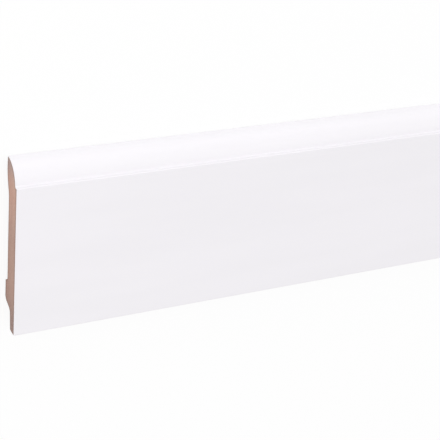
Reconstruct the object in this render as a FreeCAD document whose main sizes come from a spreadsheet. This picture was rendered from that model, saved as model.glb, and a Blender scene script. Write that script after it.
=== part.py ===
"""A length of skirting board: one piece of moulded fibreboard stock, lying on its back.

The cross-section is drawn once and padded along the board. Lengths are in millimetres. X runs along
the board, Y from its floor edge to its moulded top edge, and Z from the wall plane to the front face.
"""

import FreeCAD, Part
import math
import os
import Sketcher

# Heights are measured up from the floor edge, and depths forward from the wall plane.
SIZES = {
    "board_length": 2400.0,
    "board_height": 100.0,
    "board_thickness": 15.0,
    # The moulded top edge: a ledge cut into the front face, and the quarter round above it
    "moulding_height": 12.0,
    "ledge_width": 2.3,
    "quarter_round_radius": 12.4,
    # The back: a strip along the top that touches the wall, and the shallow hollow under it
    "top_strip": 11.0,
    "top_slope": 10.0,
    "hollow_depth": 3.0,
    # The heel, which touches the wall lower down
    "heel_slope": 4.5,
    "heel_width": 10.3,
    "heel_height": 14.6,
    # The foot: the thin front lip below the heel, with an open rebate behind it
    "rebate_height": 12.4,
    "foot_root_thickness": 7.2,
    "foot_thickness": 6.4,
    # How far each long edge is rounded
    "nose_rounding": 1.3,
    "ledge_rounding": 0.5,
    "front_arris_rounding": 0.8,
    "foot_rounding": 1.0,
    "heel_rounding": 1.5,
    "rebate_rounding": 3.0,
    "strip_rounding": 36.0,
    "hollow_rounding": 15.0,
}

# Each rounding: its name, the corners of the section that it runs along, and its size
ROUNDINGS = [
    ("rounded_nose", ["nose"], "nose_rounding"),
    ("rounded_ledge", ["ledge_edge"], "ledge_rounding"),
    ("rounded_front_arris", ["front_arris"], "front_arris_rounding"),
    ("rounded_foot", ["foot_back"], "foot_rounding"),
    ("rounded_heel", ["hollow_bottom", "heel_top", "heel_bottom"], "heel_rounding"),
    ("rounded_rebate", ["rebate_corner"], "rebate_rounding"),
    ("rounded_strip", ["strip_end"], "strip_rounding"),
    ("rounded_hollow", ["hollow_top"], "hollow_rounding"),
]

SAME_PLACE = 0.001


def make_sheet(doc):
    """The driving dimensions, one to a row, each under its own name."""
    sheet = doc.addObject("Spreadsheet::Sheet", "sizes")
    for row, (name, value) in enumerate(SIZES.items(), start=1):
        sheet.set(f"A{row}", name)
        sheet.set(f"B{row}", str(value))
        sheet.setAlias(f"B{row}", name)
    doc.recompute()
    return sheet


def find_corners(sheet):
    """The section's corners in order round it, as (height, depth), before any is rounded."""
    top = sheet.board_height
    front = sheet.board_thickness
    ledge = top - sheet.moulding_height
    strip_end = top - sheet.top_strip
    heel_top = sheet.heel_height + sheet.heel_width
    return {
        "front_arris": (0, front),
        "ledge_edge": (ledge, front),
        "ledge_corner": (ledge, front - sheet.ledge_width),
        "nose": (top, 0),
        "strip_end": (strip_end, 0),
        "hollow_top": (strip_end - sheet.top_slope, sheet.hollow_depth),
        "hollow_bottom": (heel_top + sheet.heel_slope, sheet.hollow_depth),
        "heel_top": (heel_top, 0),
        "heel_bottom": (sheet.heel_height, 0),
        "rebate_corner": (sheet.rebate_height, front - sheet.foot_root_thickness),
        "foot_back": (0, front - sheet.foot_thickness),
    }


def quarter_round(corner, nose, radius):
    """The arc from the nose, anticlockwise, to the ledge's inner corner."""
    chord = nose - corner
    outward = FreeCAD.Vector(-chord.y, chord.x, 0).normalize()
    centre = (corner + nose) / 2 - outward * math.sqrt(radius**2 - (chord.Length / 2) ** 2)
    angles = [math.atan2(end.y - centre.y, end.x - centre.x) for end in (nose, corner)]
    return Part.ArcOfCircle(Part.Circle(centre, FreeCAD.Vector(0, 0, 1), radius), *angles)


def start_of(line):
    return line, 1


def end_of(line):
    return line, 2


def draw_section(body, sheet):
    """The closed outline of the board's cut end, with every size tied to the sheet."""
    section = body.newObject("Sketcher::SketchObject", "section")
    planes = {plane.Role: plane for plane in body.Origin.OriginFeatures}
    section.AttachmentSupport = (planes["YZ_Plane"], [""])
    section.MapMode = "FlatFace"

    # Each corner has the end of one line (arriving) and the start of the next (leaving).
    corners = {name: FreeCAD.Vector(*place, 0) for name, place in find_corners(sheet).items()}
    names = list(corners)
    arriving, leaving, line = {}, {}, {}
    for name, following in zip(names, names[1:] + names[:1]):
        if name == "ledge_corner":
            arc = quarter_round(corners[name], corners[following], sheet.quarter_round_radius)
            line[name] = section.addGeometry(arc)
            leaving[name], arriving[following] = end_of(line[name]), start_of(line[name])
        else:
            edge = Part.LineSegment(corners[name], corners[following])
            line[name] = section.addGeometry(edge)
            leaving[name], arriving[following] = start_of(line[name]), end_of(line[name])

    # A sketch counts its own horizontal axis as line -1, here the wall plane, which starts at the
    # origin, and its vertical axis as line -2, here the floor edge.
    origin = start_of(-1)

    def rule(kind, *what):
        section.addConstraint(Sketcher.Constraint(kind, *what))

    def measure(kind, size, *what):
        index = section.addConstraint(Sketcher.Constraint(kind, *what, sheet.get(size)))
        section.setExpression(f"Constraints[{index}]", f"sizes.{size}")

    for name in names:
        rule("Coincident", *arriving[name], *leaving[name])
    for name in ("nose", "strip_end", "heel_top", "heel_bottom"):
        rule("PointOnObject", *leaving[name], -1)
    for name in ("foot_back", "front_arris"):
        rule("PointOnObject", *leaving[name], -2)
    for name in ("front_arris", "hollow_top"):
        rule("Horizontal", line[name])
    rule("Vertical", line["ledge_edge"])

    measure("DistanceX", "board_height", *origin, *leaving["nose"])
    measure("DistanceY", "board_thickness", *origin, *leaving["front_arris"])
    measure("DistanceX", "moulding_height", *leaving["ledge_edge"], *leaving["nose"])
    measure("DistanceY", "ledge_width", *leaving["ledge_corner"], *leaving["ledge_edge"])
    measure("Radius", "quarter_round_radius", line["ledge_corner"])
    measure("DistanceX", "top_strip", *leaving["strip_end"], *leaving["nose"])
    measure("DistanceX", "top_slope", *leaving["hollow_top"], *leaving["strip_end"])
    measure("DistanceY", "hollow_depth", *origin, *leaving["hollow_top"])
    measure("DistanceX", "heel_slope", *leaving["heel_top"], *leaving["hollow_bottom"])
    measure("DistanceX", "heel_width", *leaving["heel_bottom"], *leaving["heel_top"])
    measure("DistanceX", "heel_height", *origin, *leaving["heel_bottom"])
    measure("DistanceX", "rebate_height", *origin, *leaving["rebate_corner"])
    measure("DistanceY", "foot_root_thickness", *leaving["rebate_corner"], *leaving["front_arris"])
    measure("DistanceY", "foot_thickness", *leaving["foot_back"], *leaving["front_arris"])
    return section


def pad_along_board(body, section):
    """The section carried along the board, half of it each way from the middle."""
    pad = body.newObject("PartDesign::Pad", "moulded_length")
    pad.Profile = section
    pad.SideType = "Symmetric"
    pad.setExpression("Length", "sizes.board_length")
    return pad


def long_edges(feature, places):
    """The names of the edges that run along X through the given (height, depth) places."""
    found = []
    for number, edge in enumerate(feature.Shape.Edges, start=1):
        ends = [vertex.Point for vertex in edge.Vertexes]
        for height, depth in places:
            through = [math.hypot(end.y - height, end.z - depth) < SAME_PLACE for end in ends]
            if len(ends) == 2 and all(through):
                found.append(f"Edge{number}")
    return found


def round_edges(doc, body, sheet, feature):
    """Each long edge of the board eased to its own radius."""
    corners = find_corners(sheet)
    for name, rounded, size in ROUNDINGS:
        doc.recompute()
        fillet = body.newObject("PartDesign::Fillet", name)
        fillet.Base = (feature, long_edges(feature, [corners[corner] for corner in rounded]))
        fillet.setExpression("Radius", f"sizes.{size}")
        feature = fillet
    return feature


def make_board(doc, sheet):
    body = doc.addObject("PartDesign::Body", "skirting_board")
    body.Label = "skirting_board"
    # The section is drawn from the floor edge, and the board lies centred across its middle.
    body.setExpression("Placement.Base.y", "-sizes.board_height / 2")
    section = draw_section(body, sheet)
    pad = pad_along_board(body, section)
    body.Tip = round_edges(doc, body, sheet, pad)
    doc.recompute()
    if not section.FullyConstrained:
        raise RuntimeError("the section is not fully constrained")
    return body


def check_document(doc, bodies):
    for item in doc.Objects:
        if "Invalid" in item.State or "Error" in item.State:
            raise RuntimeError(f"{item.Label} failed: {item.State}")
    for body in bodies:
        if body.Shape.isNull() or not body.Shape.isValid():
            raise RuntimeError(f"{body.Label} has no valid shape")


def main():
    doc = FreeCAD.newDocument("skirting")
    sheet = make_sheet(doc)
    bodies = [make_board(doc, sheet)]
    check_document(doc, bodies)
    os.makedirs("parts", exist_ok=True)
    for body in bodies:
        body.Shape.exportStep(f"parts/{body.Label}.step")
        print(body.Label, round(body.Shape.Volume), body.Shape.BoundBox)


main()
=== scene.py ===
"""A length of wrapped skirting board lying on its back, seen from above its sawn left end."""

import math

import bpy
import numpy as np
from mathutils import Matrix, Vector, noise
from mathutils.geometry import delaunay_2d_cdt


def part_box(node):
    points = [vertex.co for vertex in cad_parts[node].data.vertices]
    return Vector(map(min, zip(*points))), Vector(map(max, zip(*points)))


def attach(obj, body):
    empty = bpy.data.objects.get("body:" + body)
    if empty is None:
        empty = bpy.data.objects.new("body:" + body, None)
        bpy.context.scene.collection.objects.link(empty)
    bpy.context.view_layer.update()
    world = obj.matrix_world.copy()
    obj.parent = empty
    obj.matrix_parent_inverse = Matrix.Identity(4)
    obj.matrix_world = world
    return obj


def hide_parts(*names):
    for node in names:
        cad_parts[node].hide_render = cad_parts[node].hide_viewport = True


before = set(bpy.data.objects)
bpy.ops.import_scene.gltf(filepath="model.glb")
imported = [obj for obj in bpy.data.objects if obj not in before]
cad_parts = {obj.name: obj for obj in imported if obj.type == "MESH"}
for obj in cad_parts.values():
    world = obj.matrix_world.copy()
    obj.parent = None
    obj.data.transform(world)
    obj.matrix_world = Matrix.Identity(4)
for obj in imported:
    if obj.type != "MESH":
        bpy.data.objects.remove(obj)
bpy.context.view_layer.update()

MM = 0.001
BOARD = "skirting_board"

# The board lies along X on its back: Y runs up its face from the floor edge, and Z out from the wall.
(LEFT, FLOOR_EDGE, WALL), (RIGHT, TOP_EDGE, FACE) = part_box(BOARD)

# The section, with heights from the floor edge and depths from the wall. It is the solid's, but for
# two places. The heel's upper shoulder is squarer and its lower corner rounder, as in the photograph,
# and the film rounds the inner corner of the ledge.
BOARD_HEIGHT = 100 * MM
MOULDING_HEIGHT = 12 * MM
LEDGE_WIDTH = 2.3 * MM
QUARTER_ROUND_RADIUS = 12.4 * MM
TOP_STRIP = 11 * MM
TOP_SLOPE = 10 * MM
HOLLOW_DEPTH = 3 * MM
HEEL_SLOPE = 1.8 * MM
HEEL_WIDTH = 11.4 * MM
HEEL_HEIGHT = 15.4 * MM
REBATE_HEIGHT = 12.4 * MM
FOOT_ROOT_THICKNESS = 7.2 * MM
FOOT_THICKNESS = 6.4 * MM
NOSE_ROUNDING = 1.3 * MM
LEDGE_ROUNDING = 0.5 * MM
LEDGE_CORNER_ROUNDING = 0.9 * MM
FRONT_ARRIS_ROUNDING = 0.8 * MM
FOOT_ROUNDING = 1 * MM
HEEL_TOP_ROUNDING = 0.8 * MM
HEEL_BOTTOM_ROUNDING = 3 * MM
REBATE_ROUNDING = 3 * MM
STRIP_ROUNDING = 36 * MM
HOLLOW_ROUNDING = 15 * MM

# The white film is wrapped on from the back of the foot, over the face, to the back of the nose.
FILM_THICKNESS = 0.45 * MM
FILM_FOOT_LAP = 0.6 * MM
FILM_BACK_LAP = 2.4 * MM
FILM_WANDER = 0.35 * MM
FILM_WANDER_RATES = (7, 45)
FILM_CUT_EASE = 0.12 * MM
GLUE_LINE = 0.9 * MM

# The rounding of the film's cut edges: the distance in from the edge, and the drop below the surface
FILM_EDGE_REACH = np.array([0, 0.04, 0.14, 0.3]) * MM
FILM_EDGE_DROP = np.array([0.12, 0.05, 0.01, 0]) * MM

# How far the saw tore the film back at the board's ends, and where it chipped it
FILM_TEAR = 0.03 * MM
FILM_TEAR_SPREAD = 0.02 * MM
FILM_CHIP = 0.12 * MM
FILM_CHIP_FROM = 0.75
FILM_INNER_TEAR = 0.6

# The core's step by the film's edge: how far under the film its foot and its top are, how far the bare
# core is set in beside the film, and over what distance that fades out
STEP_FOOT = 0.6 * MM
STEP_TOP = 0.25 * MM
BARE_SETBACK = 0.12 * MM
SETBACK_FADE = 4 * MM

# The saw that cut the board to length, whose blade came down from the face
SAW_CENTRE = (-30 * MM, 170 * MM)
SAW_PITCH = 1.3 * MM
SAW_RELIEF = 0.03 * MM
FIBRE_RELIEF = 0.05 * MM
END_ARRIS_EASE = 0.12 * MM

# The board's surfaces: the denser layers under its faces, the pitch of the cutters' ripples, the
# directions of the stray fibres on the back, how finely fibres bend, and the depth of each relief
BACK_SKIN = 5 * MM
FACE_SKIN = 4 * MM
RIPPLE_PITCH = 1.9 * MM
FIBRE_TURNS = (0.35, 1.2, 2.05, 2.8)
FIBRE_BEND_RATE = 300
FILM_RELIEF = 0.012 * MM
SAWN_RELIEF = 0.1 * MM
MILLED_RELIEF = 0.09 * MM

# How finely the meshes are cut
ROUND_STEP = math.radians(7.5)
ROUND_CHORD = 1 * MM
FLAT_STEP = 2.5 * MM
FLAT_GUARD = 0.2 * MM
STATION_STEP = 10 * MM
END_STATIONS = [0, 0.12 * MM, 0.35 * MM, 0.9 * MM, 2.5 * MM, 6 * MM]
END_REACH = 0.3 * MM
# How far in from the outline the darker rim of the sawn ends fades
RIM_WIDTH = 2.2 * MM
FILM_EDGE_CLEAR = 0.4 * MM
CORE_EDGE_CLEAR = 0.12 * MM
CORE_EDGE_CUTS = np.array([0.6, 0.25, 0, -0.3, -0.9, -2, -4]) * MM
SHARP_ANGLE = math.radians(40)

# The points that cover a sawn end: their spacing, and in shares of it how far each is moved at random,
# how far they stay from the edge, and how far in the relief has faded up
END_GRID = 0.45 * MM
GRID_JITTER = 0.35
GRID_CLEAR = 0.7
RELIEF_FADE = 3

# The core's finishes, by their numbers on its faces
MILLED, SAWN = 0, 1

# The texture map of each piece: the board's length is laid in rows, the unseen sides are narrowed, and
# the sawn ends are enlarged.
MAP_NAME = "OFBake"
MAP_ROWS = 4
MAP_GAP = 4 * MM
MAP_UNSEEN = 0.1
MAP_CORE_ENDS = 2.8
MAP_FILM_ENDS = (2, 8)

# Colours, in linear light
FILM_WHITE = (0.889, 0.870, 0.902, 1)
FILM_SHADE = (0.874, 0.856, 0.887, 1)
CORE_PALE = (0.590, 0.372, 0.290, 1)
CORE_DENSE = (0.430, 0.268, 0.226, 1)
# Dark brown: streaks on the milled back, and painted shade over the lower part of the sawn ends
CORE_STREAK_AND_SHADE = (0.280, 0.178, 0.152, 1)
CORE_RED = (0.510, 0.275, 0.215, 1)
# Painted shade at the nose tip of the sawn ends
NOSE_PAINTED_SHADE = (0.340, 0.272, 0.274, 1)
CORE_RIM = (0.190, 0.124, 0.104, 1)
# Painted shade at the foot of the sawn ends
FOOT_PAINTED_SHADE = (0.225, 0.158, 0.150, 1)
FIBRE_PALE = (0.790, 0.590, 0.480, 1)
FIBRE_DARK = (0.230, 0.135, 0.100, 1)
MILLED_HOLLOW = (0.500, 0.330, 0.258, 1)
SANDED_FACE = (0.400, 0.262, 0.205, 1)
GLUE = (0.330, 0.200, 0.105, 1)

# The photograph's view, fitted to its outline with the section taken as 15 x 100 mm
CAMERA_PLACE = Vector((-1.388158, 0.342581, 0.562431))
CAMERA_AIM = Vector((-1.083229, 0.002147, 0.015))
CAMERA_ROLL = math.radians(-6.11)
CAMERA_LENS = 106.36
SENSOR_WIDTH = 36

# The studio
SKY_LIGHT = 0.75
FLOOR_WHITE = 0.96
FLOOR_SHARE = 0.88
FLOOR_SIZE = 60
FLOOR_DROP = 0.05 * MM


def unit(vector):
    return vector / np.linalg.norm(vector)


def rough(*place):
    """Smooth random numbers between about -1 and 1, the same on each run."""
    return noise.noise(Vector(place)) * 1.6


def fillet(before, corner, after, radius):
    """The rounding between two straight runs, as its centre, radius, first angle and turn."""
    came = unit(np.subtract(corner, before))
    goes = unit(np.subtract(after, corner))
    turn = math.atan2(came[0] * goes[1] - came[1] * goes[0], came @ goes)
    tangent = corner - came * radius * math.tan(abs(turn) / 2)
    inward = np.array([-came[1], came[0]]) * math.copysign(1, turn)
    return tangent + inward * radius, radius, math.atan2(-inward[1], -inward[0]), turn


def quarter_round(corner, nose):
    """The film's soft turn out of the ledge, the quarter round and the nose."""
    chord = nose - corner
    rise = math.sqrt(QUARTER_ROUND_RADIUS**2 - (np.linalg.norm(chord) / 2) ** 2)
    centre = (corner + nose) / 2 - unit(np.array([-chord[1], chord[0]])) * rise

    out = corner[0] + LEDGE_CORNER_ROUNDING - centre[0]
    beyond = QUARTER_ROUND_RADIUS + LEDGE_CORNER_ROUNDING
    soft_corner = centre + [out, math.sqrt(beyond**2 - out**2)]
    upper = math.atan2(*(soft_corner - centre)[::-1])

    drop = WALL + NOSE_ROUNDING - centre[1]
    within = QUARTER_ROUND_RADIUS - NOSE_ROUNDING
    nose_centre = centre + [math.sqrt(within**2 - drop**2), drop]
    lower = math.atan2(*(nose_centre - centre)[::-1])
    return {
        "ledge_corner": (soft_corner, LEDGE_CORNER_ROUNDING, math.pi, upper),
        "quarter_round": (centre, QUARTER_ROUND_RADIUS, upper, lower - upper),
        "nose": (nose_centre, NOSE_ROUNDING, lower, -math.pi / 2 - lower),
    }


def section_arcs():
    """Every rounded edge in order round the cut end, clockwise in (y, z) from the back of the foot."""
    top = FLOOR_EDGE + BOARD_HEIGHT
    ledge = top - MOULDING_HEIGHT
    strip_end = top - TOP_STRIP
    heel_bottom = FLOOR_EDGE + HEEL_HEIGHT
    heel_top = heel_bottom + HEEL_WIDTH
    hollow = WALL + HOLLOW_DEPTH
    corners = {
        "foot_back": (FLOOR_EDGE, FACE - FOOT_THICKNESS),
        "front_arris": (FLOOR_EDGE, FACE),
        "ledge_edge": (ledge, FACE),
        "ledge_corner": (ledge, FACE - LEDGE_WIDTH),
        "nose": (top, WALL),
        "strip_end": (strip_end, WALL),
        "hollow_top": (strip_end - TOP_SLOPE, hollow),
        "hollow_bottom": (heel_top + HEEL_SLOPE, hollow),
        "heel_top": (heel_top, WALL),
        "heel_bottom": (heel_bottom, WALL),
        "rebate_corner": (FLOOR_EDGE + REBATE_HEIGHT, FACE - FOOT_ROOT_THICKNESS),
    }
    rounding = {
        "foot_back": FOOT_ROUNDING,
        "front_arris": FRONT_ARRIS_ROUNDING,
        "ledge_edge": LEDGE_ROUNDING,
        "strip_end": STRIP_ROUNDING,
        "hollow_top": HOLLOW_ROUNDING,
        "hollow_bottom": HEEL_TOP_ROUNDING,
        "heel_top": HEEL_TOP_ROUNDING,
        "heel_bottom": HEEL_BOTTOM_ROUNDING,
        "rebate_corner": REBATE_ROUNDING,
    }
    names = list(corners)
    arcs = {}
    for index, name in enumerate(names):
        if name in rounding:
            before, after = names[index - 1], names[(index + 1) % len(names)]
            arcs[name] = fillet(corners[before], corners[name], corners[after], rounding[name])
        elif name == "ledge_corner":
            arcs.update(quarter_round(np.array(corners[name]), np.array(corners["nose"])))
    return arcs


class Section:
    """The outline of the cut end, measured by the distance walked round it."""

    def __init__(self, arcs):
        places, outward, marks = [], [], {}
        for name, (centre, radius, start, turn) in arcs.items():
            steps = math.ceil(max(abs(turn) / ROUND_STEP, abs(turn) * radius / ROUND_CHORD, 2))
            angles = start + turn * np.linspace(0, 1, steps + 1)
            out = np.stack([np.cos(angles), np.sin(angles)], axis=1)
            self.run_to(places, outward, centre + radius * out[0])
            marks[name] = (len(places), len(places) + steps)
            places.extend(centre + radius * out)
            outward.extend(out if turn < 0 else -out)
        self.run_to(places, outward, places[0])
        self.places, self.outward = np.array(places), np.array(outward)
        steps = np.linalg.norm(np.diff(self.places, axis=0, append=self.places[:1]), axis=1)
        self.walked = np.concatenate([[0], np.cumsum(steps)])
        self.length = self.walked[-1]
        self.starts = {name: self.walked[mark[0]] for name, mark in marks.items()}
        self.ends = {name: self.walked[mark[1]] for name, mark in marks.items()}

    def run_to(self, places, outward, end):
        """Cuts the straight run up to a place, closely at its two ends."""
        if not places:
            return
        start = places[-1]
        run = np.linalg.norm(end - start)
        if run < FLAT_GUARD / 100:
            places.pop()
            outward.pop()
        elif run > FLAT_GUARD * 3:
            cuts = math.ceil((run - 2 * FLAT_GUARD) / FLAT_STEP)
            for reach in np.linspace(FLAT_GUARD, run - FLAT_GUARD, cuts + 1):
                places.append(start + (end - start) * reach / run)
                outward.append(outward[-1])

    def apart(self, first, second):
        """The shorter way round the section between two distances."""
        half = self.length / 2
        return np.abs(np.mod(first - second + half, self.length) - half)

    def at(self, distance, inset):
        """Places this far round the section, set in from its surface."""
        around = np.mod(distance, self.length)

        def read(values):
            closed = np.vstack([values, values[:1]])
            return np.stack([np.interp(around, self.walked, closed[:, axis]) for axis in (0, 1)], -1)

        outward = read(self.outward)
        outward /= np.linalg.norm(outward, axis=-1, keepdims=True)
        return read(self.places) - outward * inset[..., None]


SECTION = Section(section_arcs())
FOOT_EDGE = SECTION.starts["foot_back"] - FILM_FOOT_LAP
BACK_EDGE = SECTION.ends["nose"] + FILM_BACK_LAP


def stations():
    """Where the section is repeated along the board, closely at its two ends."""
    ends = np.array(END_STATIONS)
    count = round((RIGHT - LEFT - 2 * ends[-1]) / STATION_STEP)
    middle = np.linspace(LEFT + ends[-1], RIGHT - ends[-1], count + 1)
    return np.concatenate([LEFT + ends[:-1], middle, RIGHT - ends[-2::-1]])


def at_the_cut(along):
    """1 at the board's sawn ends, and 0 from just inside them."""
    from_end = np.minimum(along - LEFT, RIGHT - along)
    return np.clip(1 - from_end / END_REACH, 0, 1)


def strayed(distance, along):
    """Distances round the section, moved with the film's slightly wandering edges at each station."""
    moved = np.broadcast_to(distance, (len(along), len(distance))).copy()
    slow, quick = FILM_WANDER_RATES
    for seed, edge in ((3.7, FOOT_EDGE), (8.2, BACK_EDGE)):
        wander = [rough(x * slow, seed, 0) + 0.3 * rough(x * quick, seed, 5) for x in along]
        pull = np.clip(1 - SECTION.apart(distance, edge) / (6 * FILM_WANDER), 0, 1) ** 2
        moved += FILM_WANDER * np.outer(wander, pull)
    return moved


def swept_faces(count, around):
    """The quads between neighbouring rings of a closed skin."""
    ring = np.arange(around)
    following = np.roll(ring, -1)
    starts = np.arange(count - 1)[:, None] * around
    quads = [starts + ring, starts + around + ring, starts + around + following, starts + following]
    return np.stack(quads, -1).reshape(-1, 4).tolist()


def swept_places(xs, flat):
    """The corners of a swept skin, from its x values and its (y, z) places at each station."""
    xs = np.broadcast_to(xs, flat.shape[:2])
    return np.concatenate([xs[..., None], flat], axis=2).reshape(-1, 3)


def mapped_rows(along, across):
    """Where the corners of the swept faces lie on the map, and the height that their rows take up."""
    row_length = (RIGHT - LEFT) / MAP_ROWS
    from_left = along - LEFT
    row = ((from_left[:-1] + from_left[1:]) / 2 // row_length)[:, None]
    start, end = from_left[:-1, None] - row * row_length, from_left[1:, None] - row * row_length
    pitch = across[-1] + MAP_GAP
    low, high = row * pitch + across[:-1], row * pitch + across[1:]
    start, end = np.broadcast_to(start, low.shape), np.broadcast_to(end, low.shape)
    corners = [(start, low), (end, low), (end, high), (start, high)]
    rows = np.stack([np.stack(corner, -1) for corner in corners], 2)
    return rows.reshape(-1, 2), MAP_ROWS * pitch


def beyond_film(distance):
    """How far a place on the section is from the film's nearer edge, negative under the film."""
    around = np.mod(distance - FOOT_EDGE, SECTION.length)
    covered = BACK_EDGE - FOOT_EDGE
    bare = np.minimum(around - covered, SECTION.length - around)
    return np.where(around > covered, bare, -np.minimum(covered - around, around))


def inside(points, loop):
    """Which points lie in a closed loop, and how far each is from its edge."""
    start, end = loop, np.roll(loop, -1, axis=0)
    y, z = points[:, :1], points[:, 1:]
    spans = (start[:, 1] > z) != (end[:, 1] > z)
    rise = np.where(end[:, 1] == start[:, 1], 1, end[:, 1] - start[:, 1])
    crossing = start[:, 0] + (z - start[:, 1]) * (end[:, 0] - start[:, 0]) / rise
    within = (spans & (y < crossing)).sum(axis=1) % 2 == 1
    side = end - start
    share = ((points[:, None] - start) * side).sum(-1) / (side**2).sum(-1)
    nearest = start + np.clip(share, 0, 1)[..., None] * side
    return within, np.linalg.norm(points[:, None] - nearest, axis=-1).min(axis=1)


def saw_depth(y, z, seed):
    """How deep the saw left a point of the end: curved blade marks, torn fibres and small pits."""
    radius = math.hypot(y - SAW_CENTRE[0], z - SAW_CENTRE[1])
    turns = radius / SAW_PITCH + 0.5 * rough(y * 60, z * 60, seed)
    marks = (0.5 + 0.5 * math.sin(turns * math.tau)) * (0.5 + 0.5 * rough(radius * 300, seed, 1))
    fibres = 0.5 + 0.5 * rough(y * 900, z * 2200, seed)
    pits = max(0, rough(y * 1500, z * 2500, seed + 9) - 0.55) * 3
    return SAW_RELIEF * marks + FIBRE_RELIEF * (0.5 * fibres + pits)


def sawn_end(loop, x, facing, seed):
    """The points inside a sawn end, its triangles, which join the loop's own corners, and how far
    each point is from the edge."""
    low, high = loop.min(axis=0), loop.max(axis=0)
    grid = np.meshgrid(*(np.arange(low[axis], high[axis], END_GRID) for axis in (0, 1)))
    grid = np.stack(grid, -1).reshape(-1, 2)
    grid += np.random.default_rng(seed).uniform(-GRID_JITTER, GRID_JITTER, grid.shape) * END_GRID
    within, from_edge = inside(grid, loop)
    kept = within & (from_edge > END_GRID * GRID_CLEAR)
    grid, from_edge = grid[kept], from_edge[kept]

    flat = [Vector(place) for place in np.vstack([loop, grid]).tolist()]
    outline = list(range(len(loop)))
    _, _, found, origins, _, _ = delaunay_2d_cdt(flat, [], [outline], 1, 1e-9)
    triangles = [[origins[corner][0] for corner in face] for face in found]
    if facing < 0:
        triangles = [face[::-1] for face in triangles]

    fade = np.clip(from_edge / (END_GRID * RELIEF_FADE), 0, 1)
    depths = np.array([saw_depth(y, z, seed) for y, z in grid])
    return np.column_stack([x - facing * fade * depths, grid]), triangles, from_edge


def core_mesh():
    """The fibreboard, set in by the film's thickness where it is wrapped and bare on its back."""
    along = stations()
    near = np.concatenate([FOOT_EDGE + CORE_EDGE_CUTS, BACK_EDGE - CORE_EDGE_CUTS])
    known = SECTION.walked[:-1]
    clear = SECTION.apart(known[:, None], near).min(axis=1) > CORE_EDGE_CLEAR
    around = np.sort(np.concatenate([known[clear], np.mod(near, SECTION.length)]))

    beyond = beyond_film(around)
    insets = [FILM_THICKNESS, BARE_SETBACK, BARE_SETBACK, 0]
    inset = np.interp(beyond, [-STEP_FOOT, -STEP_TOP, 0, SETBACK_FADE], insets)
    cut = at_the_cut(along)
    crumble = np.zeros((len(along), len(around)))
    for station in np.flatnonzero(cut):
        crumble[station] = [0.6 + 0.5 * rough(s * 900, along[station] * 9, 2) for s in around]
    wear = END_ARRIS_EASE * (beyond > 0) * cut[:, None] * np.clip(crumble, 0, 2)
    flat = SECTION.at(strayed(around, along), inset + wear)

    skin = swept_places(along[:, None], flat)
    faces = swept_faces(len(along), len(around))
    closed = np.append(around, SECTION.length)
    seen = np.clip(closed - BACK_EDGE, 0, None)
    rows, top = mapped_rows(along, seen + MAP_UNSEEN * np.minimum(closed, BACK_EDGE))
    vertices, finishes, mapped = [skin], [MILLED] * len(faces), [rows]
    total = len(skin)
    depths = [np.zeros(total)]
    for station, x, facing, seed in ((0, LEFT, -1, 11), (len(along) - 1, RIGHT, 1, 12)):
        inner, triangles, from_edge = sawn_end(flat[station], x, facing, seed)
        triangles = np.array(triangles)
        rim = station * len(around) + np.arange(len(around))
        numbers = np.concatenate([rim, total + np.arange(len(inner))])
        faces += numbers[triangles].tolist()
        finishes += [SAWN] * len(triangles)
        vertices.append(inner)
        depths.append(np.clip(from_edge / RIM_WIDTH, 0, 1))
        total += len(inner)
        middle = (1 + facing / 2) * (MAP_CORE_ENDS * BOARD_HEIGHT + MAP_GAP)
        end_map = np.vstack([flat[station], inner[:, 1:]]) * MAP_CORE_ENDS * (facing, 1) + (middle, top)
        mapped.append(end_map[triangles.ravel()])
    glued = np.zeros(total)
    glued[: len(skin)] = np.tile(np.clip(1 - beyond / GLUE_LINE, 0, 1), len(along))
    measures = {"beside_film": glued, "in_from_outline": np.concatenate(depths)}
    return np.vstack(vertices), faces, np.vstack(mapped), finishes, measures


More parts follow.
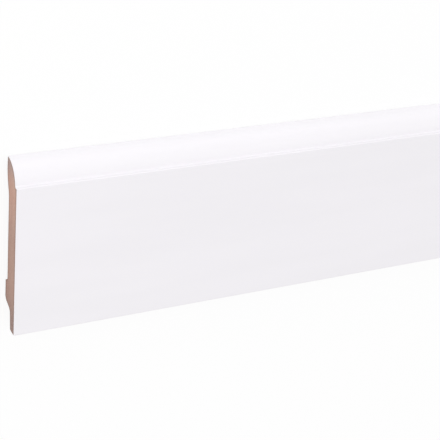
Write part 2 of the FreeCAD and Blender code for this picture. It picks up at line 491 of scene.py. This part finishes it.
def film_mesh():
    """The white film, a thin skin with cut edges on the board's back and at its two sawn ends."""
    along = stations()
    walked = SECTION.walked[:-1]
    known = np.concatenate([walked - SECTION.length, walked])
    known = known[(known > FOOT_EDGE + FILM_EDGE_CLEAR) & (known < BACK_EDGE - FILM_EDGE_CLEAR)]
    outer = np.concatenate([FOOT_EDGE + FILM_EDGE_REACH, known, BACK_EDGE - FILM_EDGE_REACH[::-1]])
    from_edge = np.minimum(outer - FOOT_EDGE, BACK_EDGE - outer)
    eased = np.interp(from_edge, FILM_EDGE_REACH, FILM_EDGE_DROP)

    cut = at_the_cut(along)[:, None]
    side = (along > 0).astype(int)
    chips = np.array([[rough(s * 1400, x * 5, 4) for s in outer] for x in (LEFT, RIGHT)])[side]
    places = strayed(outer, along)
    outer_skin = SECTION.at(places, eased + FILM_CUT_EASE * cut * (0.8 + 0.4 * chips))
    inner_skin = SECTION.at(places, np.full(places.shape, FILM_THICKNESS))
    flat = np.concatenate([outer_skin, inner_skin[:, ::-1]], axis=1)

    chipped = FILM_CHIP * np.clip(chips - FILM_CHIP_FROM, 0, 1)
    ragged = FILM_TEAR + FILM_TEAR_SPREAD * chips + chipped
    ragged = np.clip(np.concatenate([ragged, ragged[:, ::-1] * FILM_INNER_TEAR], axis=1), 0, None)
    xs = along[:, None] - np.sign(along)[:, None] * cut * ragged

    count = flat.shape[1]
    faces = swept_faces(len(along), count)
    last = (len(along) - 1) * count
    width = outer[-1] - outer[0]
    unseen = width + FILM_THICKNESS + MAP_UNSEEN * (outer[-1] - outer[::-1])
    across = np.concatenate([outer - outer[0], unseen, unseen[-1:] + FILM_THICKNESS])
    rows, top = mapped_rows(along, across)
    mapped = [rows]
    for corner in range(len(outer) - 1):
        quad = [corner, corner + 1, count - 2 - corner, count - 1 - corner]
        faces.append(quad)
        faces.append([last + index for index in quad[::-1]])
        near, far = MAP_FILM_ENDS[0] * (outer[corner : corner + 2] - outer[0])
        low, high = top, top + MAP_FILM_ENDS[1] * FILM_THICKNESS
        strip = np.array([(near, low), (far, low), (far, high), (near, high)])
        mapped += [strip, strip[::-1] * (-1, 1) + (2 * MAP_FILM_ENDS[0] * width + MAP_GAP, 0)]
    return swept_places(xs, flat), faces, np.vstack(mapped)


def make_piece(name, vertices, faces, mapped, finishes):
    """A named piece that rides on the board, smooth but for its sharp edges."""
    mesh = bpy.data.meshes.new(name)
    mesh.from_pydata(vertices.tolist(), [], faces)
    for finish in finishes:
        mesh.materials.append(finish)
    mesh.shade_smooth()
    mesh.set_sharp_from_angle(angle=SHARP_ANGLE)
    mapped = (mapped - mapped.min(axis=0)) / np.ptp(mapped, axis=0).max()
    mesh.uv_layers.new(name=MAP_NAME).uv.foreach_set("vector", mapped.ravel())
    piece = bpy.data.objects.new(name, mesh)
    bpy.context.scene.collection.objects.link(piece)
    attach(piece, "root")
    return piece


class Signal:
    """A shader socket that can be reckoned with: each operator adds a Math node."""

    def __init__(self, finish, socket):
        self.finish, self.socket = finish, socket

    def __add__(self, other):
        return self.finish.math("ADD", self, other)

    def __sub__(self, other):
        return self.finish.math("SUBTRACT", self, other)

    def __rsub__(self, other):
        return self.finish.math("SUBTRACT", other, self)

    def __mul__(self, other):
        return self.finish.math("MULTIPLY", self, other)

    def __pow__(self, other):
        return self.finish.math("POWER", self, other)

    __radd__ = __add__
    __rmul__ = __mul__


class Finish:
    """The nodes of a material or of the sky, built up one by one."""

    def __init__(self, owner):
        self.owner = owner
        owner.use_nodes = True
        self.tree = owner.node_tree
        self.tree.nodes.clear()

    def node(self, kind, settings, inputs, output=0):
        """Adds a node, with its settings first and then the values or links of its sockets."""
        node = self.tree.nodes.new("ShaderNode" + kind)
        for name, value in settings.items():
            setattr(node, name, value)
        for name, value in inputs.items():
            if isinstance(value, Signal):
                self.tree.links.new(value.socket, node.inputs[name])
            else:
                node.inputs[name].default_value = value
        return Signal(self, node.outputs[output]) if node.outputs else None

    def math(self, operation, first, second=0.0):
        return self.node("Math", {"operation": operation}, {0: first, 1: second})

    def place(self):
        """Where a point of the board is, in metres."""
        return self.node("TexCoord", {}, {}, "Object")

    def axis(self, name):
        """One of the place's three numbers."""
        return self.node("SeparateXYZ", {}, {0: self.place()}, name)

    def grain(self, scale, detail=2.0, roughness=0.5):
        """Noise between 0 and 1, with about this many bumps to a metre along X, Y and Z."""
        stretched = self.node("VectorMath", {"operation": "MULTIPLY"}, {0: self.place(), 1: scale})
        inputs = {"Vector": stretched, "Scale": 1.0, "Detail": detail, "Roughness": roughness}
        return self.node("TexNoise", {"noise_dimensions": "3D"}, inputs)

    def fibres(self, scale, wander, turn=0.0):
        """Random tones between 0 and 1, one for each small fibre of about this many to a metre."""
        inputs = {"Vector": self.place(), "Scale": FIBRE_BEND_RATE, "Detail": 2.0}
        bend = self.node("TexNoise", {}, inputs, "Color")
        bend = self.node("VectorMath", {"operation": "MULTIPLY"}, {0: bend, 1: (wander,) * 3})
        inputs = {"Vector": self.place(), "Angle": turn}
        turned = self.node("VectorRotate", {"rotation_type": "Z_AXIS"}, inputs)
        stretched = self.node("VectorMath", {"operation": "MULTIPLY"}, {0: turned, 1: scale})
        moved = self.node("VectorMath", {"operation": "ADD"}, {0: stretched, 1: bend})
        tone = self.node("TexVoronoi", {"feature": "F1"}, {"Vector": moved, "Scale": 1.0}, "Color")
        return self.node("SeparateColor", {}, {0: tone}, "Red")

    def measure(self, name):
        """A number that the mesh carries at its corners."""
        return self.node("Attribute", {"attribute_name": name}, {}, "Fac")

    def ease(self, value, low, high, start=0.0, end=1.0):
        """Goes smoothly from start to end as the value goes from low to high."""
        inputs = {"Value": value, "From Min": low, "From Max": high, "To Min": start, "To Max": end}
        return self.node("MapRange", {"interpolation_type": "SMOOTHSTEP"}, inputs)

    def blend(self, factor, first, second):
        """A colour between two, by a factor."""
        return self.node("Mix", {"data_type": "RGBA"}, {0: factor, 6: first, 7: second}, 2)

    def stained(self, colour, stains):
        """A colour with others laid over it. Each stain is its colour, its share where it is full, the
        value that it follows, and that value where the stain is clear and where it is full."""
        for over, share, value, clear, full in stains:
            low, high = sorted((clear, full))
            ends = (0, 1) if clear < full else (1, 0)
            colour = self.blend(share * self.ease(value, low, high, *ends), colour, over)
        return colour

    def seen(self):
        """1 for what the camera sees, straight or in a reflection or through glass, and 0 for light."""
        kinds = ("Camera", "Glossy", "Transmission")
        rays = [self.node("LightPath", {}, {}, f"Is {kind} Ray") for kind in kinds]
        return self.math("MINIMUM", rays[0] + rays[1] + rays[2], 1.0)

    def surface(self, colour, roughness, height, relief, **constants):
        """Joins the colour, the roughness and a relief of this depth to the output."""
        bump = self.node("Bump", {}, {"Height": height, "Strength": 1.0, "Distance": relief})
        inputs = {"Base Color": colour, "Roughness": roughness, "Normal": bump, **constants}
        self.node("OutputMaterial", {}, {"Surface": self.node("BsdfPrincipled", {}, inputs)})
        return self.owner


def new_finish(name):
    return Finish(bpy.data.materials.new(name))


def white_film_finish():
    """Satin white film: a fine orange peel, and faint lines along the board from the rollers."""
    finish = new_finish("white_film")
    peel = finish.grain((520, 520, 520))
    rollers = finish.grain((5, 620, 620), detail=3, roughness=0.6)
    cloud = finish.grain((6, 35, 35), detail=3)
    colour = finish.blend(finish.ease(cloud, 0.35, 0.65), FILM_SHADE, FILM_WHITE)
    roughness = 0.36 + 0.08 * cloud + 0.06 * rollers
    return finish.surface(colour, roughness, 0.6 * peel + 0.4 * rollers, FILM_RELIEF, IOR=1.45)


def sawn_finish():
    """A saw cut across the board: short fibres lying level, dark skins, a darker rim along the outline,
    painted shade over the lower part and at the nose tip, faint curved blade marks.
    """
    finish = new_finish("sawn_fibreboard")
    y, z = finish.axis("Y"), finish.axis("Z")
    cloud = finish.grain((60, 45, 160), detail=3)
    tone = finish.fibres((2200, 1900, 6500), 0.9)
    shives = finish.fibres((1000, 700, 3600), 0.9)
    fine = finish.grain((2600, 2000, 5000), detail=4, roughness=0.7)
    from_blade = ((y - SAW_CENTRE[0]) ** 2 + (z - SAW_CENTRE[1]) ** 2) ** 0.5
    marks = finish.math("SINE", from_blade * (math.tau / SAW_PITCH) + 6 * cloud)

    near_back = finish.ease(z, WALL, WALL + BACK_SKIN)
    dense = 1 - near_back * finish.ease(z, FACE - FACE_SKIN, FACE, 1, 0)
    stains = [
        (CORE_RED, 0.55, cloud, 0.4, 0.66),
        # painted shade over the lower part of the sawn end, full from just above the middle down to the
        # floor edge
        (CORE_STREAK_AND_SHADE, 0.44, y, 32 * MM, 4 * MM),
        # painted shade: the sawn end greyer and darker towards the nose tip
        (NOSE_PAINTED_SHADE, 0.75, y, 35 * MM, TOP_EDGE),
        (FOOT_PAINTED_SHADE, 0.72, y, -18 * MM, FLOOR_EDGE),
        # painted shade ends here; below, a darker rim along the sawn end's whole outline, fading about
        # 2 mm in
        (CORE_RIM, 0.6, finish.measure("in_from_outline"), 0.85, 0),
        (FIBRE_PALE, 0.16, tone, 0.5, 1),
        (FIBRE_DARK, 0.14, tone, 0.5, 0),
        (FIBRE_PALE, 0.24, shives, 0.93, 0.98),
        (FIBRE_DARK, 0.28, shives, 0.07, 0.02),
        (FIBRE_PALE, 0.3, fine, 0.5, 0.72),
        (FIBRE_DARK, 0.38, fine, 0.5, 0.3),
    ]
    colour = finish.stained(finish.blend(0.6 * dense, CORE_PALE, CORE_DENSE), stains)
    colour = finish.blend(0.05 + 0.05 * marks, colour, FIBRE_DARK)
    roughness = 0.75 + 0.2 * fine
    height = 0.5 * fine + 0.25 * tone + 0.15 * shives + 0.1 * marks
    return finish.surface(colour, roughness, height, SAWN_RELIEF)


def milled_finish():
    """The bare back as the cutters left it: streaks along it, fine cross ripples and stray fibres."""
    finish = new_finish("milled_fibreboard")
    x, z = finish.axis("X"), finish.axis("Z")
    streaks = finish.grain((3, 330, 330), detail=4, roughness=0.65)
    scores = finish.grain((2, 1500, 1500))
    cloud = finish.grain((14, 40, 40), detail=3)
    felt = finish.grain((900, 1400, 1400), detail=4, roughness=0.7)
    ripple = finish.math("SINE", x * (math.tau / RIPPLE_PITCH) + 4 * cloud)

    stains = [
        (CORE_RED, 0.4, cloud, 0.4, 0.68),
        (CORE_PALE, 0.45, streaks, 0.42, 0.72),
        (CORE_STREAK_AND_SHADE, 0.3, streaks, 0.45, 0.28),
        (FIBRE_DARK, 0.15, scores, 0.45, 0.3),
        (FIBRE_PALE, 0.4, felt, 0.5, 0.75),
        (FIBRE_DARK, 0.35, felt, 0.5, 0.25),
    ]
    for turn in FIBRE_TURNS:
        strays = finish.fibres((620, 5600, 5600), 4.5, turn)
        stains.append((FIBRE_PALE, 0.28, strays, 0.95, 0.98))
        stains.append((FIBRE_DARK, 0.34, strays, 0.04, 0.01))
    glued = finish.measure("beside_film")
    stains.append((GLUE, 0.7, glued + 0.5 * (cloud - 0.5), 0.25, 0.9))
    milled = finish.ease(z, WALL + 0.15 * MM, WALL + 2.2 * MM)
    colour = finish.stained(finish.blend(milled, SANDED_FACE, MILLED_HOLLOW), stains)
    roughness = 0.66 + 0.2 * felt - 0.3 * finish.ease(glued, 0.2, 0.9)
    height = 0.6 * felt + 0.2 * streaks + 0.14 * scores + 0.06 * ripple
    return finish.surface(colour, roughness, height, MILLED_RELIEF)


def make_board():
    """The fibreboard core and the white film round it."""
    vertices, faces, mapped, finishes, measures = core_mesh()
    core = make_piece("fibreboard", vertices, faces, mapped, [milled_finish(), sawn_finish()])
    core.data.polygons.foreach_set("material_index", finishes)
    for name, values in measures.items():
        core.data.attributes.new(name, "FLOAT", "POINT").data.foreach_set("value", values)
    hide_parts("skirting_board")

    vertices, faces, mapped = film_mesh()
    film = make_piece("white_film", vertices, faces, mapped, [white_film_finish()])


def soft_lamp(name, place, aim, size, watts):
    """A large soft lamp that the camera doesn't see."""
    lamp = bpy.data.objects.new(name, bpy.data.lights.new(name, "AREA"))
    lamp.data.shape = "RECTANGLE"
    lamp.data.size, lamp.data.size_y = size
    lamp.data.energy = watts
    lamp.location = place
    lamp.rotation_euler = (Vector(aim) - Vector(place)).to_track_quat("-Z", "Y").to_euler()
    lamp.visible_camera = False
    bpy.context.scene.collection.objects.link(lamp)


def make_light():
    """An even white sky and four soft lamps."""
    sky = bpy.data.worlds.new("sky")
    bpy.context.scene.world = sky
    finish = Finish(sky)
    strength = SKY_LIGHT + (1 - SKY_LIGHT) * finish.seen()
    background = finish.node("Background", {}, {"Color": (1, 1, 1, 1), "Strength": strength})
    finish.node("OutputWorld", {}, {"Surface": background})

    soft_lamp("over_lamp", (-1.65, 0.3, 0.9), (-1.1, 0, 0), (0.8, 0.8), 1.9)
    soft_lamp("long_lamp", (0.3, 0.5, 1.6), (0.3, 0, 0), (2.4, 0.6), 5)
    soft_lamp("edge_lamp", (-0.3, 1.4, 0.35), (-0.3, 0, 0), (2.6, 0.5), 4.4)
    soft_lamp("end_lamp", (-2.4, 0.3, 0.6), (-1.2, 0, 0), (0.8, 0.8), 1.6)


def make_floor():
    """A white floor that keeps a faint shadow."""
    half = FLOOR_SIZE / 2
    corners = [(-half, -half, 0), (half, -half, 0), (half, half, 0), (-half, half, 0)]
    mesh = bpy.data.meshes.new("floor")
    mesh.from_pydata(corners, [], [(0, 1, 2, 3)])
    floor = bpy.data.objects.new("floor", mesh)
    floor.location.z = WALL - FLOOR_DROP
    bpy.context.scene.collection.objects.link(floor)
    finish = new_finish("white_floor")
    painted = finish.node("BsdfDiffuse", {}, {"Color": (FLOOR_WHITE, FLOOR_WHITE, FLOOR_WHITE, 1)})
    glow = finish.node("Emission", {}, {"Color": (1, 1, 1, 1), "Strength": 1.0})
    mixed = finish.node("MixShader", {}, {0: FLOOR_SHARE * finish.seen(), 1: painted, 2: glow})
    finish.node("OutputMaterial", {}, {"Surface": mixed})
    mesh.materials.append(finish.owner)


def make_camera():
    """The photograph's camera, rolled so that the board's top edge is at the top of the picture."""
    camera = bpy.data.objects.new("camera", bpy.data.cameras.new("camera"))
    camera.data.sensor_width = SENSOR_WIDTH
    camera.data.lens = CAMERA_LENS
    camera.data.clip_start, camera.data.clip_end = 0.01, 100
    forward = (CAMERA_AIM - CAMERA_PLACE).normalized()
    right = forward.cross(Vector((0, 1, 0))).normalized()
    level = Matrix((right, right.cross(forward), -forward)).transposed()
    turned = Matrix.Rotation(CAMERA_ROLL, 3, forward) @ level
    camera.matrix_world = Matrix.Translation(CAMERA_PLACE) @ turned.to_4x4()
    bpy.context.scene.collection.objects.link(camera)
    bpy.context.scene.camera = camera


bpy.context.scene.view_settings.view_transform = "Standard"
make_board()
make_light()
make_floor()
make_camera()
